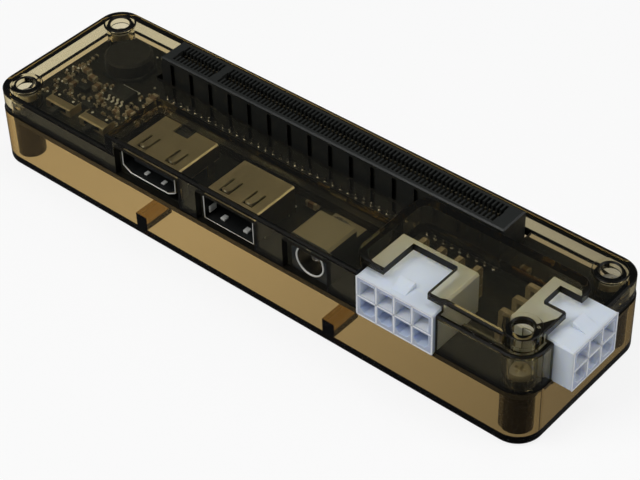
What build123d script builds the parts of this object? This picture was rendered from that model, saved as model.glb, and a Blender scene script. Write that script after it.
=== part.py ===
from build123d import *
import os

# External graphics card enclosure: a smoked two-part case around a card slot board.
# Millimetres, +Z up, +X towards the six-way outlet, -Y towards the ports.
# Origin: middle of the tray's flat underside.

# Case outline and levels
case_length = 139.3
case_width = 38.8
corner_radius = 5.5
wall = 1.5
plate = 1.6
floor_thickness = 1.6
tray_height = 13.3
bottom_rounding = 1.0
cover_setback = 0.2
base_level = 18.4
plateau_level = 22.4
cap_level = 25.0
top_bevel = 0.3
left_end = -case_length / 2
right_end = case_length / 2
front_end = -case_width / 2
rear_end = case_width / 2

# Plateau over the ports and raised cap over the power headers
plateau_left = -35.3
plateau_rear = front_end + 16.2
plateau_corner = 1.5
cap_length = 40.0
cap_depth = 21.5
cap_right = right_end - 1.65
cap_left = cap_right - cap_length
cap_front = front_end + 1.9
cap_rear = cap_front + cap_depth
cap_corner = 3.4

# Circuit board
board_thickness = 1.6
board_top = 12.4
board_clearance = 0.4
board_hole_diameter = 3.1

# Corner columns and screws
screw_inset = 5.3
boss_diameter = 6.1
collar_diameter = 7.2
collar_height = 0.4
collar_bevel = 0.2
cap_collar_diameter = 7.4
counterbore_diameter = 4.2
counterbore_floor = 14.4
mouth_chamfer = 0.35
screw_clearance_diameter = 2.9
pilot_diameter = 2.6
screw_diameter = 2.5
screw_length = 10.6
screw_head_diameter = 3.9
screw_head_height = 1.5
drive_width = 0.6
drive_depth = 0.8
drive_length = 2.5

# Ribs standing on the tray floor behind the front wall
rib_places = (-27.3, 22.9)
rib_thickness = 3.0
rib_height = 3.2
rib_depth = 7.2

# Card slot
slot_left = -43.5
slot_front = cap_rear + 1.95
slot_width = 7.2
slot_height = 11.25
slot_left_wall = 2.3
slot_right_wall = 3.0
trench_width = 1.8
trench_depth = 8.6
first_run_count = 11
second_run_count = 71
contact_pitch = 1.0
key_width = 1.7
cell_width = 0.62
cell_reach = 1.75
cell_depth = 7.0
contact_width = 0.4
contact_thickness = 0.4
contact_drop = 1.3
contact_bulge = 0.15
groove_pitch = 5.42
groove_width = 0.95
groove_depth = 0.55
groove_top_margin = 1.0
groove_foot = 0.8
groove_margin = 3.2
slot_gap = 0.9
slot_bevel = 0.3

# Power headers
cell_pitch = 4.2
header_cell = 3.45
header_cell_depth = 10.0
header_border = 0.6
header_rounding = 0.4
header_depth = 13.8
header_height = 9.8
header_clearance = 0.25
cell_chamfer = 0.9
pin_size = 1.07
pin_reach = 7.5
lead_reach_upper = 4.2
lead_reach_lower = 2.2
inlet_centre = cap_left + 11.75
inlet_front = front_end - 0.2
inlet_columns = 4
outlet_centre = cap_front + 13.05
outlet_front = right_end + 3.95
outlet_columns = 3
ramp_width = 3.4
ramp_length = 3.0
ramp_height = 1.1
ramp_setback = 1.2
latch_notch_width = 10.2
latch_notch_offset = 0.95
latch_notch_depth = 10.8
side_notch_width = 5.05
side_notch_offset = 0.85
side_notch_depth = 6.45

# Ports behind the front wall
port_front = front_end + 1.8
shell_sheet = 0.35
shell_rounding = 0.3
shell_leg_width = 1.8
link_centre = plateau_left + 10.4
link_width = 15.0
link_bottom = 13.7
link_top = 18.9
link_depth = 12.8
link_back = 1.0
link_taper_width = 2.2
link_taper_height = 1.35
link_spring_offset = 3.9
link_notch_width = 4.0
link_notch_depth = 2.7
link_notch_offset = -0.6
link_tongue_width = 11.2
link_tongue_thickness = 1.1
link_tongue_setback = 1.4
link_upper_contacts = 10
link_lower_contacts = 9
link_contact_width = 0.45
link_contact_length = 5.6
serial_centre = plateau_left + 32.1
serial_width = 13.4
serial_bottom = 12.75
serial_top = 19.0
serial_depth = 12.2
serial_back = 0.8
serial_tab_depth = 0.6
serial_rear_tabs = ((0.6, 1.6, 2.4), (3.6, 3.4, 0.8), (8.4, 2.0, 2.2))
serial_spring_offset = 3.05
serial_tongue_width = 11.2
serial_tongue_low = 16.3
serial_tongue_high = 18.0
serial_tongue_setback = 1.6
serial_contact_length = 6.6
serial_outer_contacts = (3.5, 1.1)
serial_inner_contacts = (1.0, 0.9)
tongue_root = 2.2
contact_sheet = 0.15
spring_width = 1.7
spring_length = 4.4
spring_slit = 0.5
spring_setback = 2.2
spring_bead = 0.3
window_clearance = 0.5
window_top = 20.4
link_window_extra = 2.2
serial_window_extra = 1.4
jack_window_extra = 1.2

# Barrel jack
jack_centre = plateau_left + 52.7
jack_width = 9.4
jack_front = front_end + 2.4
jack_depth = 12.2
jack_head_depth = 8.2
jack_tail_top = 17.2
jack_tail_inset = 0.8
jack_rounding = 0.5
jack_top = 20.4
jack_mouth_height = 16.2
jack_mouth_diameter = 6.4
jack_bore_depth = 9.5
jack_sleeve_sheet = 0.35
jack_sleeve_lip = 0.15
jack_pin_diameter = 2.0
jack_pin_length = 8.6
jack_pin_bevel = 0.5

# Slide switches at the front left
switch_places = (left_end + 12.25, left_end + 22.25)
switch_y = front_end + 9.0
switch_length = 7.2
switch_depth = 3.4
switch_height = 1.9
switch_sheet = 0.25
lever_length = 1.5
lever_reach = 2.2
lever_height = 0.9
lever_travel = 1.5
lever_gap = 0.15
lever_bevel = 0.15
lever_root = 0.8
lever_shoe = 0.6
lever_shoe_depth = 1.7
lever_shoe_gap = 0.1
switch_terminal_depth = 0.9

# Power inductor at the rear left
inductor_inset_x = 13.15
inductor_inset_y = 10.7
inductor_size = 11.2
inductor_height = 4.0
inductor_base_height = 0.8
inductor_corner = 3.0
inductor_core_inset = 0.3
inductor_bevel = 0.5

# Control chip with gull-wing leads
chip_inset = 19.45
chip_y = 0.2
chip_length = 5.0
chip_width = 3.9
chip_height = 1.4
chip_seat = 0.1
chip_bevel = 0.2
lead_count = 4
lead_pitch = 1.27
lead_width = 0.42
lead_thickness = 0.2
lead_shoulder = 0.5
lead_foot = 1.1
lead_knee = 0.9

overlap = 0.1
tiny = 0.01
half_length = case_length / 2
half_width = case_width / 2
board_bottom = board_top - board_thickness
screw_x = half_length - screw_inset
screw_y = half_width - screw_inset
screw_places = [(-screw_x, -screw_y), (-screw_x, screw_y), (screw_x, screw_y), (screw_x, -screw_y)]
cover_length = case_length - 2 * cover_setback
cover_width = case_width - 2 * cover_setback
cover_corner = corner_radius - cover_setback
slot_positions = first_run_count + second_run_count
slot_length = slot_left_wall + slot_positions * contact_pitch + key_width + slot_right_wall
slot_right = slot_left + slot_length
groove_count = int((slot_length - groove_margin) / groove_pitch) + 1
slot_middle = slot_front + slot_width / 2
slot_top = board_top + slot_height
header_top = board_top + header_height
inlet_width = 2 * header_border + inlet_columns * cell_pitch
outlet_width = 2 * header_border + outlet_columns * cell_pitch
inlet_opening = inlet_width + 2 * header_clearance
outlet_opening = outlet_width + 2 * header_clearance
header_ceiling = cap_level - plate
link_rear = port_front + link_depth
serial_rear = port_front + serial_depth
spring_front = port_front + spring_setback


def block(x0, x1, y0, y1, z0, z1, mode=Mode.ADD):
    """A box between six planes."""
    with Locations(((x0 + x1) / 2, (y0 + y1) / 2, (z0 + z1) / 2)):
        Box(x1 - x0, y1 - y0, z1 - z0, mode=mode)


def prism(profile, bottom, top, mode=Mode.ADD):
    """An outline carried straight up from one level to another."""
    with BuildSketch(Plane.XY.offset(bottom)) as outline:
        profile()
    extrude(outline.sketch, amount=top - bottom, mode=mode)


def base_outline(inset):
    """The cover's full outline, moved inwards."""
    RectangleRounded(cover_length - 2 * inset, cover_width - 2 * inset, cover_corner - inset)


def plateau_outline(inset):
    """The part of the outline that lies in front of the plateau's rear edge."""
    base_outline(inset)
    left = plateau_left + inset
    rear = plateau_rear - inset
    reach = case_width
    with Locations((left + case_length / 2, rear - reach / 2)):
        RectangleRounded(case_length, reach, plateau_corner, mode=Mode.INTERSECT)


def cap_outline(inset):
    """The raised cap over the two power headers."""
    with Locations(((cap_left + cap_right) / 2, (cap_front + cap_rear) / 2)):
        length = cap_right - cap_left - 2 * inset
        depth = cap_rear - cap_front - 2 * inset
        RectangleRounded(length, depth, cap_corner - inset)


# Tray
with BuildPart() as bottom_tray:
    prism(lambda: RectangleRounded(case_length, case_width, corner_radius), 0, tray_height)
    fillet(bottom_tray.faces().sort_by(Axis.Z)[0].edges(), bottom_rounding)
    with BuildSketch(Plane.XY.offset(floor_thickness)) as hollow:
        RectangleRounded(case_length - 2 * wall, case_width - 2 * wall, corner_radius - wall)
    extrude(hollow.sketch, amount=tray_height, mode=Mode.SUBTRACT)
    with BuildSketch(Plane.XY.offset(floor_thickness)) as columns:
        with Locations(screw_places):
            Circle(boss_diameter / 2)
    extrude(columns.sketch, amount=board_bottom - floor_thickness)
    for place in rib_places:
        rib_front = front_end + wall
        block(place - rib_thickness / 2, place + rib_thickness / 2, rib_front, rib_front + rib_depth,
              floor_thickness, floor_thickness + rib_height)
    with Locations([(x, y, board_bottom) for x, y in screw_places]):
        Hole(pilot_diameter / 2, depth=board_bottom - floor_thickness)
    notch_floor = board_top - header_clearance
    block(inlet_centre - inlet_opening / 2, inlet_centre + inlet_opening / 2,
          front_end - 1, front_end + wall + overlap, notch_floor, tray_height + 1, Mode.SUBTRACT)
    block(right_end - wall - overlap, right_end + 1, outlet_centre - outlet_opening / 2,
          outlet_centre + outlet_opening / 2, notch_floor, tray_height + 1, Mode.SUBTRACT)

# Cover moulded on three levels
with BuildPart() as top_cover:
    levels = ((base_outline, base_level), (plateau_outline, plateau_level), (cap_outline, cap_level))
    for outline, level in levels:
        prism(lambda: outline(0), tray_height, level)
        chamfer(top_cover.faces().filter_by(Axis.Z).group_by(Axis.Z)[-1].edges(), top_bevel)
    prism(lambda: base_outline(wall), tray_height - 1, base_level - plate, Mode.SUBTRACT)
    prism(lambda: plateau_outline(wall), tray_height - 1, plateau_level - plate, Mode.SUBTRACT)
    prism(lambda: cap_outline(wall), tray_height - 1, cap_level - plate, Mode.SUBTRACT)
    for number, place in enumerate(screw_places):
        at_cap = number == len(screw_places) - 1
        level = cap_level if at_cap else base_level
        collar = cap_collar_diameter if at_cap else collar_diameter
        with Locations((*place, board_top)):
            Cylinder(boss_diameter / 2, level - board_top, align=(Align.CENTER, Align.CENTER, Align.MIN))
        with Locations((*place, level - plate)):
            Cylinder(collar / 2, plate + collar_height, align=(Align.CENTER, Align.CENTER, Align.MIN))
        collar_top = level + collar_height
        collar_rim = top_cover.edges().filter_by(GeomType.CIRCLE).filter_by_position(
            Axis.Z, collar_top - tiny, collar_top + tiny)
        chamfer(collar_rim, collar_bevel)
        with Locations((*place, collar_top)):
            CounterBoreHole(screw_clearance_diameter / 2, counterbore_diameter / 2,
                            collar_top - counterbore_floor)
        mouth = top_cover.edges().filter_by(GeomType.CIRCLE).filter_by(
            lambda edge: abs(edge.radius - counterbore_diameter / 2) < tiny).filter_by_position(
            Axis.Z, collar_top - tiny, collar_top + tiny)
        chamfer(mouth, mouth_chamfer)
    front = front_end - 1
    inside = front_end + wall + cover_setback + overlap
    below = tray_height - 1
    for centre, width, extra in ((link_centre, link_width, link_window_extra),
                                 (serial_centre, serial_width, serial_window_extra),
                                 (jack_centre, jack_width, jack_window_extra)):
        block(centre - width / 2 - window_clearance, centre + width / 2 + extra,
              front, inside, below, window_top, Mode.SUBTRACT)
    block(inlet_centre - inlet_opening / 2, inlet_centre + inlet_opening / 2,
          front, cap_front + wall + overlap, below, header_ceiling, Mode.SUBTRACT)
    block(cap_right - wall - overlap, right_end + 1, outlet_centre - outlet_opening / 2,
          outlet_centre + outlet_opening / 2, below, header_ceiling, Mode.SUBTRACT)
    block(screw_x - boss_diameter, screw_x + boss_diameter,
          outlet_centre - outlet_opening / 2, outlet_centre + outlet_opening / 2,
          below - 1, header_top + header_clearance, Mode.SUBTRACT)
    latch_centre = inlet_centre + latch_notch_offset
    block(latch_centre - latch_notch_width / 2, latch_centre + latch_notch_width / 2,
          front, front_end + latch_notch_depth, header_ceiling - overlap, cap_level + 1, Mode.SUBTRACT)
    side_centre = outlet_centre + side_notch_offset
    block(right_end - side_notch_depth, right_end + 1, side_centre - side_notch_width / 2,
          side_centre + side_notch_width / 2, header_ceiling - overlap, cap_level + 1, Mode.SUBTRACT)
    block(slot_left - slot_gap, slot_right + slot_gap, slot_front - slot_gap,
          slot_front + slot_width + slot_gap, base_level - plate - 1, base_level + 1, Mode.SUBTRACT)

# Screws
with BuildPart() as cover_screws:
    for x, y in screw_places:
        with Locations((x, y, counterbore_floor)):
            Cylinder(screw_diameter / 2, screw_length, align=(Align.CENTER, Align.CENTER, Align.MAX))
            Cylinder(screw_head_diameter / 2, screw_head_height,
                     align=(Align.CENTER, Align.CENTER, Align.MIN))
        head_top = counterbore_floor + screw_head_height
        cut = drive_length / 2
        block(x - cut, x + cut, y - drive_width / 2, y + drive_width / 2,
              head_top - drive_depth, head_top + 1, Mode.SUBTRACT)
        block(x - drive_width / 2, x + drive_width / 2, y - cut, y + cut,
              head_top - drive_depth, head_top + 1, Mode.SUBTRACT)

# Board
with BuildPart() as circuit_board:
    margin = wall + board_clearance
    prism(lambda: RectangleRounded(case_length - 2 * margin, case_width - 2 * margin, corner_radius - margin),
          board_bottom, board_top)
    with Locations([(x, y, board_top) for x, y in screw_places]):
        Hole(board_hole_diameter / 2, depth=board_thickness)

# Card slot: grooved housing with a key and a contact cell at every position
first_centre = slot_left + slot_left_wall + first_run_count * contact_pitch / 2
key_place = first_centre + first_run_count * contact_pitch / 2
second_centre = key_place + key_width + second_run_count * contact_pitch / 2
runs = ((first_centre, first_run_count), (second_centre, second_run_count))
with BuildPart() as card_slot_housing:
    block(slot_left, slot_right, slot_front, slot_front + slot_width, board_top, slot_top)
    top_edges = card_slot_housing.faces().sort_by(Axis.Z)[-1].edges()
    chamfer(top_edges, slot_bevel)
    for side in (slot_front, slot_front + slot_width):
        for number in range(groove_count):
            x = slot_left + groove_margin + number * groove_pitch
            block(x - groove_width / 2, x + groove_width / 2, side - groove_depth, side + groove_depth,
                  board_top + groove_foot, slot_top - groove_top_margin, Mode.SUBTRACT)
    for centre, positions in runs:
        length = positions * contact_pitch
        block(centre - length / 2, centre + length / 2, slot_middle - trench_width / 2,
              slot_middle + trench_width / 2, slot_top - trench_depth, slot_top + 1, Mode.SUBTRACT)
        with BuildSketch(Plane.XY.offset(slot_top)) as cells:
            with Locations((centre, slot_middle)):
                with GridLocations(contact_pitch, 1, positions, 1):
                    Rectangle(cell_width, trench_width + 2 * cell_reach)
        extrude(cells.sketch, amount=-cell_depth, mode=Mode.SUBTRACT)

with BuildPart() as card_slot_contacts:
    contact_offset = trench_width / 2 - contact_bulge + contact_thickness / 2
    for centre, positions in runs:
        with BuildSketch(Plane.XY.offset(slot_top - cell_depth)) as contacts:
            with Locations((centre, slot_middle)):
                with GridLocations(contact_pitch, 2 * contact_offset, positions, 2):
                    Rectangle(contact_width, contact_thickness)
        extrude(contacts.sketch, amount=cell_depth - contact_drop)


def header(columns, width):
    """A two-row header facing +Y with its rear face on the origin plane, seated at z = 0."""
    with BuildPart(mode=Mode.PRIVATE) as housing:
        block(-width / 2, width / 2, 0, header_depth, 0, header_height)
        chamfer(housing.edges().filter_by(Axis.Y), header_rounding)
        face = Plane.XZ.offset(-header_depth)
        with BuildSketch(face) as cells:
            with Locations((0, header_height / 2 + cell_pitch / 2)):
                with GridLocations(cell_pitch, 1, columns, 1):
                    Rectangle(header_cell, header_cell)
            with Locations((0, header_height / 2 - cell_pitch / 2)):
                with GridLocations(cell_pitch, 1, columns, 1):
                    Rectangle(header_cell, header_cell)
            lower = cells.vertices().group_by(Axis.Y)[0]
            chamfer(lower, cell_chamfer)
        extrude(cells.sketch, amount=header_cell_depth, mode=Mode.SUBTRACT)
        with BuildSketch(Plane.YZ.offset(-ramp_width / 2)) as ramp:
            with BuildLine():
                foot = header_depth - ramp_setback
                Polyline((foot - ramp_length, header_height), (foot, header_height),
                         (foot - ramp_length, header_height + ramp_height), close=True)
            make_face()
        extrude(ramp.sketch, amount=ramp_width)
    return housing.part


def header_pins(columns):
    """Square pins in the cells, bent down behind the header to the board."""
    with BuildPart(mode=Mode.PRIVATE) as pins:
        half = pin_size / 2
        tip = header_depth - header_cell_depth + pin_reach
        for row, reach in ((cell_pitch / 2, lead_reach_upper), (-cell_pitch / 2, lead_reach_lower)):
            height = header_height / 2 + row
            for number in range(columns):
                x = (number - (columns - 1) / 2) * cell_pitch
                with BuildSketch(Plane.YZ.offset(x - half)) as wire:
                    with BuildLine():
                        Polyline((tip, height - half), (tip, height + half), (-reach, height + half),
                                 (-reach, 0), (-reach + pin_size, 0), (-reach + pin_size, height - half),
                                 close=True)
                    make_face()
                    elbow = wire.vertices().sort_by_distance((-reach, height + half))[0]
                    fillet(elbow, pin_size * 0.8)
                extrude(wire.sketch, amount=pin_size)
    return pins.part


# Power headers: the inlet in the front wall and the outlet in the right end
inlet_frame = Location((inlet_centre, inlet_front + header_depth, board_top), (0, 0, 180))
outlet_frame = Location((outlet_front - header_depth, outlet_centre, board_top), (0, 0, -90))
inlet_body = header(inlet_columns, inlet_width)
inlet_leads = header_pins(inlet_columns)
outlet_body = header(outlet_columns, outlet_width)
outlet_leads = header_pins(outlet_columns)

with BuildPart() as power_inlet_housing:
    add(inlet_body.moved(inlet_frame) - inlet_leads.moved(inlet_frame))

with BuildPart() as power_inlet_pins:
    add(inlet_leads.moved(inlet_frame))

with BuildPart() as power_outlet_housing:
    add(outlet_body.moved(outlet_frame) - outlet_leads.moved(outlet_frame))

with BuildPart() as power_outlet_pins:
    add(outlet_leads.moved(outlet_frame))


def spring_slits(centre, level):
    """A U-shaped cut that frees one spring tongue in the top of a shell."""
    half = spring_width / 2
    rear = spring_front + spring_length
    low = level - shell_sheet - 0.1
    high = level + 0.1
    for side in (-1, 1):
        middle = centre + side * (half + spring_slit / 2)
        block(middle - spring_slit / 2, middle + spring_slit / 2, spring_front, rear,
              low, high, Mode.SUBTRACT)
    block(centre - half, centre + half, spring_front, spring_front + spring_slit, low, high, Mode.SUBTRACT)
    tip = spring_front + spring_slit
    block(centre - half, centre + half, tip, tip + 2 * spring_bead, level - shell_sheet, level + spring_bead)


# D-shaped link port
link_left = link_centre - link_width / 2
link_right = link_centre + link_width / 2


def link_outline(inset):
    """Flat top, two tapered lower corners."""
    left = link_left + inset
    right = link_right - inset
    low = link_bottom + inset
    high = link_top - inset
    with BuildLine() as edge:
        Polyline((left, high), (right, high), (right, low + link_taper_height),
                 (right - link_taper_width, low), (left + link_taper_width, low),
                 (left, low + link_taper_height), close=True)
    make_face(edge.edges())


with BuildPart() as link_port_shell:
    with BuildSketch(Plane.XZ.offset(-port_front)) as link_outer:
        link_outline(0)
    extrude(link_outer.sketch, amount=-link_depth)
    chamfer(link_port_shell.edges().filter_by(Axis.Y), shell_rounding)
    with BuildSketch(Plane.XZ.offset(-port_front)) as link_inner:
        link_outline(shell_sheet)
    extrude(link_inner.sketch, amount=link_back - link_depth, mode=Mode.SUBTRACT)
    notch_centre = link_centre + link_notch_offset
    block(notch_centre - link_notch_width / 2, notch_centre + link_notch_width / 2,
          link_rear - link_notch_depth, link_rear + 1, link_top - shell_sheet - overlap, link_top + 1,
          Mode.SUBTRACT)
    for centre in (link_centre - link_spring_offset, link_centre + link_spring_offset):
        spring_slits(centre, link_top)
    for x in (link_left, link_right - shell_sheet):
        for y in (port_front + 2.4, link_rear - 3.4):
            block(x, x + shell_sheet, y, y + shell_leg_width, board_top, link_top - 2)

with BuildPart() as link_port_tongue:
    tongue_middle = (link_bottom + link_top) / 2 + contact_sheet
    tongue_low = tongue_middle - link_tongue_thickness / 2
    tongue_high = tongue_middle + link_tongue_thickness / 2
    half = link_tongue_width / 2
    block(link_centre - half, link_centre + half, port_front + link_tongue_setback, link_rear - link_back,
          tongue_low, tongue_high)
    block(link_centre - half + 1, link_centre + half - 1, link_rear - link_back - tongue_root,
          link_rear - link_back, link_bottom + 0.6, link_top - 0.6)
    chamfer(link_port_tongue.faces().sort_by(Axis.Y)[0].edges(), 0.2)

with BuildPart() as link_port_contacts:
    for count, low in ((link_upper_contacts, tongue_high), (link_lower_contacts, tongue_low - contact_sheet)):
        with BuildSketch(Plane.XY.offset(low)) as strips:
            with Locations((link_centre, port_front + link_contact_length / 2 + link_tongue_setback + 0.8)):
                with GridLocations(1.0, 1, count, 1):
                    Rectangle(link_contact_width, link_contact_length)
        extrude(strips.sketch, amount=contact_sheet)

# Flat rectangular serial port
serial_left = serial_centre - serial_width / 2
serial_right = serial_centre + serial_width / 2
with BuildPart() as serial_port_shell:
    block(serial_left, serial_right, port_front, serial_rear, serial_bottom, serial_top)
    chamfer(serial_port_shell.edges().filter_by(Axis.Y), shell_rounding)
    block(serial_left + shell_sheet, serial_right - shell_sheet, port_front - 1, serial_rear - serial_back,
          serial_bottom + shell_sheet, serial_top - shell_sheet, Mode.SUBTRACT)
    for centre in (serial_centre - serial_spring_offset, serial_centre + serial_spring_offset):
        spring_slits(centre, serial_top)
    for x in (serial_left, serial_right - shell_sheet):
        for y in (port_front + 4.0, serial_rear - shell_leg_width):
            block(x, x + shell_sheet, y, y + shell_leg_width, board_top, serial_bottom + 2)
    for x, width, drop in serial_rear_tabs:
        block(serial_left + x, serial_left + x + width, serial_rear, serial_rear + serial_tab_depth,
              board_top, serial_top - drop)

with BuildPart() as serial_port_tongue:
    half = serial_tongue_width / 2
    root = serial_rear - serial_back
    block(serial_centre - half, serial_centre + half, port_front + serial_tongue_setback, root,
          serial_tongue_low, serial_tongue_high)
    block(serial_centre - half, serial_centre + half, root - tongue_root, root,
          serial_bottom + shell_sheet, serial_tongue_high)
    chamfer(serial_port_tongue.faces().sort_by(Axis.Y)[0].edges(), 0.3)

with BuildPart() as serial_port_contacts:
    contact_middle = port_front + serial_tongue_setback + serial_contact_length / 2 + 0.9
    with BuildSketch(Plane.XY.offset(serial_tongue_low)) as strips:
        for offset, width in (serial_outer_contacts, serial_inner_contacts):
            with Locations((serial_centre - offset, contact_middle),
                           (serial_centre + offset, contact_middle)):
                Rectangle(width, serial_contact_length)
    extrude(strips.sketch, amount=-contact_sheet)

# Barrel jack
with BuildPart() as dc_jack_body:
    jack_left = jack_centre - jack_width / 2
    jack_right = jack_centre + jack_width / 2
    block(jack_left, jack_right, jack_front, jack_front + jack_head_depth, board_top, jack_top)
    block(jack_left + jack_tail_inset, jack_right - jack_tail_inset, jack_front, jack_front + jack_depth,
          board_top, jack_tail_top)
    chamfer(dc_jack_body.edges().filter_by(Axis.Y).group_by(Axis.Z)[-1], jack_rounding)
    with BuildSketch(Plane.XZ.offset(-jack_front)) as mouth:
        with Locations((jack_centre, jack_mouth_height)):
            Circle(jack_mouth_diameter / 2 + jack_sleeve_sheet)
    extrude(mouth.sketch, amount=-jack_bore_depth, mode=Mode.SUBTRACT)

with BuildPart() as dc_jack_sleeve:
    with BuildSketch(Plane.XZ.offset(jack_sleeve_lip - jack_front)) as ring:
        with Locations((jack_centre, jack_mouth_height)):
            Circle(jack_mouth_diameter / 2 + jack_sleeve_sheet)
            Circle(jack_mouth_diameter / 2, mode=Mode.SUBTRACT)
    extrude(ring.sketch, amount=-jack_bore_depth - jack_sleeve_lip)

with BuildPart() as dc_jack_pin:
    with BuildSketch(Plane.XZ.offset(-jack_front - jack_bore_depth)) as root:
        with Locations((jack_centre, jack_mouth_height)):
            Circle(jack_pin_diameter / 2)
    extrude(root.sketch, amount=jack_pin_length)
    chamfer(dc_jack_pin.faces().sort_by(Axis.Y)[0].edges(), jack_pin_bevel)


def switch_frame(centre):
    """Folded metal can with a window for the lever along its front."""
    with BuildPart(mode=Mode.PRIVATE) as frame:
        x0 = centre - switch_length / 2
        x1 = centre + switch_length / 2
        y0 = switch_y - switch_depth / 2
        y1 = switch_y + switch_depth / 2
        top = board_top + switch_height
        block(x0, x1, y0, y1, board_top, top)
        chamfer(frame.edges().filter_by(Axis.X).group_by(Axis.Z)[-1], switch_sheet)
        block(x0 + switch_sheet, x1 - switch_sheet, y0 + switch_sheet, y1 - switch_sheet,
              board_top - 1, top - switch_sheet, Mode.SUBTRACT)
        reach = lever_length / 2 + lever_travel + lever_gap
        middle = board_top + switch_height / 2
        block(centre - reach, centre + reach, y0 - 1, y0 + 1, middle - lever_height / 2 - lever_gap,
              middle + lever_height / 2 + lever_gap, Mode.SUBTRACT)
    return frame.part


def switch_base(centre):
    """Insulating base with the terminal strip behind the can."""
    with BuildPart(mode=Mode.PRIVATE) as base:
        x0 = centre - switch_length / 2 + switch_sheet
        x1 = centre + switch_length / 2 - switch_sheet
        rear = switch_y + switch_depth / 2 - switch_sheet
        block(x0, x1, rear - switch_terminal_depth, rear, board_top, board_top + switch_height - switch_sheet)
    return base.part


def switch_lever(centre):
    """Lever with the wide shoe that keeps it inside the can."""
    with BuildPart(mode=Mode.PRIVATE) as lever:
        front = switch_y - switch_depth / 2
        middle = board_top + switch_height / 2
        block(centre - lever_length / 2, centre + lever_length / 2, front - lever_reach, front + lever_root,
              middle - lever_height / 2, middle + lever_height / 2)
        chamfer(lever.faces().sort_by(Axis.Y)[0].edges(), lever_bevel)
        shoe = lever_length / 2 + lever_shoe
        block(centre - shoe, centre + shoe, front + switch_sheet + lever_gap, front + lever_shoe_depth,
              board_top + lever_shoe_gap, board_top + switch_height - switch_sheet - lever_shoe_gap)
    return lever.part


with BuildPart() as setting_switch_1_frame:
    add(switch_frame(switch_places[0]))
with BuildPart() as setting_switch_1_base:
    add(switch_base(switch_places[0]))
with BuildPart() as setting_switch_1_lever:
    add(switch_lever(switch_places[0]))
with BuildPart() as setting_switch_2_frame:
    add(switch_frame(switch_places[1]))
with BuildPart() as setting_switch_2_base:
    add(switch_base(switch_places[1]))
with BuildPart() as setting_switch_2_lever:
    add(switch_lever(switch_places[1]))

# Power inductor
inductor_place = (left_end + inductor_inset_x, rear_end - inductor_inset_y)
with BuildPart() as power_inductor_base:
    with BuildSketch(Plane.XY.offset(board_top)) as plan:
        with Locations(inductor_place):
            Rectangle(inductor_size, inductor_size)
        chamfer(plan.vertices(), inductor_corner)
    extrude(plan.sketch, amount=inductor_base_height)
with BuildPart() as power_inductor_core:
    with Locations((*inductor_place, board_top + inductor_base_height)):
        Cylinder(inductor_size / 2 - inductor_core_inset, inductor_height - inductor_base_height,
                 align=(Align.CENTER, Align.CENTER, Align.MIN))
    chamfer(power_inductor_core.faces().sort_by(Axis.Z)[-1].edges(), inductor_bevel)

# Control chip
chip_x = left_end + chip_inset
with BuildPart() as control_chip_body:
    with Locations((chip_x, chip_y, board_top + chip_seat)):
        Box(chip_length, chip_width, chip_height, align=(Align.CENTER, Align.CENTER, Align.MIN))
    chamfer(control_chip_body.faces().sort_by(Axis.Z)[-1].edges(), chip_bevel)
with BuildPart() as control_chip_leads:
    for side in (-1, 1):
        for number in range(lead_count):
            x = chip_x + (number - (lead_count - 1) / 2) * lead_pitch
            root = chip_y + side * chip_width / 2
            shoulder = root + side * lead_shoulder
            toe = root + side * lead_foot
            inner = shoulder - side * lead_thickness
            knee = board_top + lead_knee
            foot = board_top + lead_thickness
            with BuildSketch(Plane.YZ.offset(x - lead_width / 2)) as gull:
                with BuildLine():
                    Polyline((root, knee), (shoulder, knee), (shoulder, foot), (toe, foot), (toe, board_top),
                             (inner, board_top), (inner, knee - lead_thickness),
                             (root, knee - lead_thickness), close=True)
                make_face()
            extrude(gull.sketch, amount=lead_width)

# Small parts: rows of (from the chip along x and y, length along x, depth along y, height)
capacitor_rows = (
    (-13.45, -3.4, 1.0, 2.0, 0.9), (-11.25, -3.8, 1.0, 2.0, 0.9), (-12.45, 1.4, 2.0, 1.2, 0.9),
    (-9.45, 0.2, 2.0, 1.2, 1.0), (-6.45, -1.4, 1.2, 2.0, 1.0), (5.55, -3.4, 2.0, 1.2, 0.8),
    (8.75, -0.8, 1.2, 2.0, 0.8), (6.15, 2.8, 1.6, 2.6, 1.1), (-2.45, -4.4, 0.8, 1.6, 0.8),
    (2.95, -5.2, 1.6, 0.8, 0.8), (-4.05, -3.2, 0.8, 1.6, 0.7), (11.15, -3.8, 1.2, 2.0, 0.9),
)
resistor_rows = (
    (-10.45, -6.6, 1.6, 0.8, 0.5), (-6.85, -5.8, 1.6, 0.8, 0.5), (0.15, -5.0, 1.6, 0.8, 0.5),
    (6.95, -6.4, 0.8, 1.6, 0.5), (11.35, -0.8, 1.6, 0.8, 0.5), (13.95, -1.8, 1.6, 0.8, 0.5),
    (-14.85, 6.2, 0.8, 1.6, 0.5), (-14.05, -0.6, 0.8, 1.6, 0.5), (3.45, -1.6, 0.8, 1.6, 0.5),
    (9.15, -4.8, 0.8, 1.6, 0.5),
)
transistor_rows = (
    (-8.55, -3.6, 2.9, 1.4, 1.0), (-2.95, -7.4, 2.9, 1.4, 1.0),
)

# The same columns for parts placed from the right end of the card slot and from the jack
slot_end_rows = (
    (3.9, 9.0, 2.0, 1.2, 0.9), (7.5, 7.6, 2.0, 1.2, 0.9), (10.7, 9.4, 1.2, 2.0, 0.9),
)
jack_rows = (
    (-12.4, 3.0, 2.6, 1.6, 1.3), (-1.0, 4.4, 0.8, 1.6, 0.5),
)


def place_parts(rows, start_x, start_y=0):
    """Boxes seated on the board, one for each row of the table."""
    for x, y, length, depth, height in rows:
        with Locations((start_x + x, start_y + y, board_top)):
            Box(length, depth, height, align=(Align.CENTER, Align.CENTER, Align.MIN))


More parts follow.
